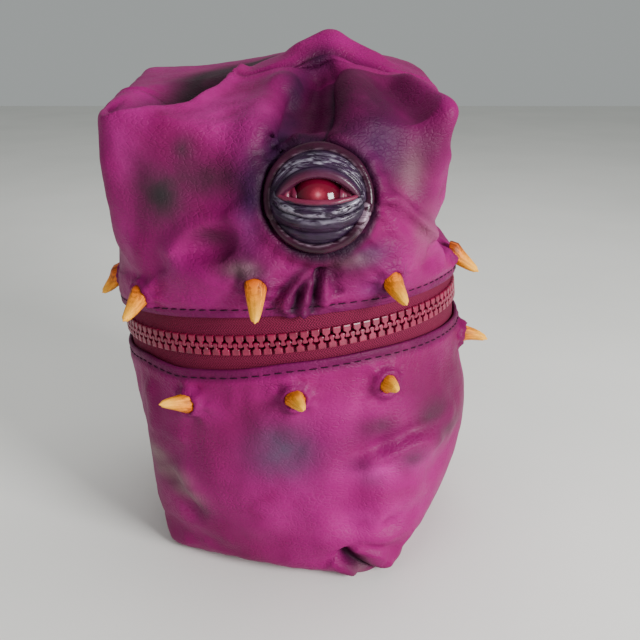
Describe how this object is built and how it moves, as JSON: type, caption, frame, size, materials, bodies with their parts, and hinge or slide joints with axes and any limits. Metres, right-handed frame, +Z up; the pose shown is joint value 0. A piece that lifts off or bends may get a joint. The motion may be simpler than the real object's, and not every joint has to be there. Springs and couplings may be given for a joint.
{
  "type": "zip dice bag",
  "caption": "Soft leather pouch with square ends that opens like jaws on a zip round its middle, with a clay eye in front and claws round the mouth.",
  "frame": {"origin": "middle of the flat bottom, on the surface that the bag stands on", "axes": "+Z up, front with the eye faces -Y, +X to the right of someone facing the eye"},
  "size_m": [0.1234, 0.1187, 0.15],
  "materials": {
    "leather": "satin pebbled grain with darker airbrushed patches",
    "zip_tape": "woven",
    "zip_teeth": "moulded satin",
    "slider_metal": "gloss enamel",
    "thread": "waxed",
    "rim_clay": "satin painted clay",
    "lid_clay": "pearly painted clay",
    "iris_paint": "metallic paint",
    "eye_glass": "polished",
    "claw_clay": "satin clay with orange wash"
  },
  "bodies": {
    "lower_bag": {"lower_front_panel": "leather", "lower_back_panel": "leather", "hinge_strip": "leather", "lower_tape": "zip_tape", "lower_teeth": "zip_teeth", "lower_end_stops": "zip_teeth", "lower_topstitch": "thread", "claw_lower_1": "claw_clay", "claw_lower_2": "claw_clay", "claw_lower_3": "claw_clay", "claw_lower_4": "claw_clay", "claw_lower_5": "claw_clay", "claw_lower_6": "claw_clay"},
    "upper_bag": {"upper_front_panel": "leather", "upper_back_panel": "leather", "upper_tape": "zip_tape", "upper_teeth": "zip_teeth", "upper_end_stops": "zip_teeth", "upper_topstitch": "thread", "eye_backing": "rim_clay", "eye_rim_upper": "rim_clay", "eye_rim_lower": "rim_clay", "upper_eyelid": "lid_clay", "iris_disc": "iris_paint", "eyeball": "eye_glass", "claw_upper_1": "claw_clay", "claw_upper_2": "claw_clay", "claw_upper_3": "claw_clay", "claw_upper_4": "claw_clay", "claw_upper_5": "claw_clay", "claw_upper_6": "claw_clay", "lower_eyelid": "lid_clay"},
    "slider": {"slider": "slider_metal"},
    "pull_tab": {"pull_tab": "slider_metal"}
  },
  "joints": [
    {"name": "lid_hinge", "type": "hinge", "parent": "lower_bag", "child": "upper_bag", "pos_m": [0.00032, 0.05063, 0.07156], "axis": [-0.9957, 0, -0.0924], "range_deg": [0, 115], "deforming": ["hinge_strip", "upper_tape", "upper_teeth"]},
    {"name": "slider_travel", "type": "hinge", "parent": "lower_bag", "child": "slider", "pos_m": [0, 0, 0.075], "axis": [-0.0922, 0.068, 0.9934], "range_deg": [0, 261], "deforming": ["lower_teeth", "upper_teeth"]},
    {"name": "pull_swing", "type": "hinge", "parent": "slider", "child": "pull_tab", "pos_m": [-0.03967, 0.03729, 0.06877], "axis": [-0.0922, 0.068, 0.9934], "range_deg": [0, 180]}
  ]
}
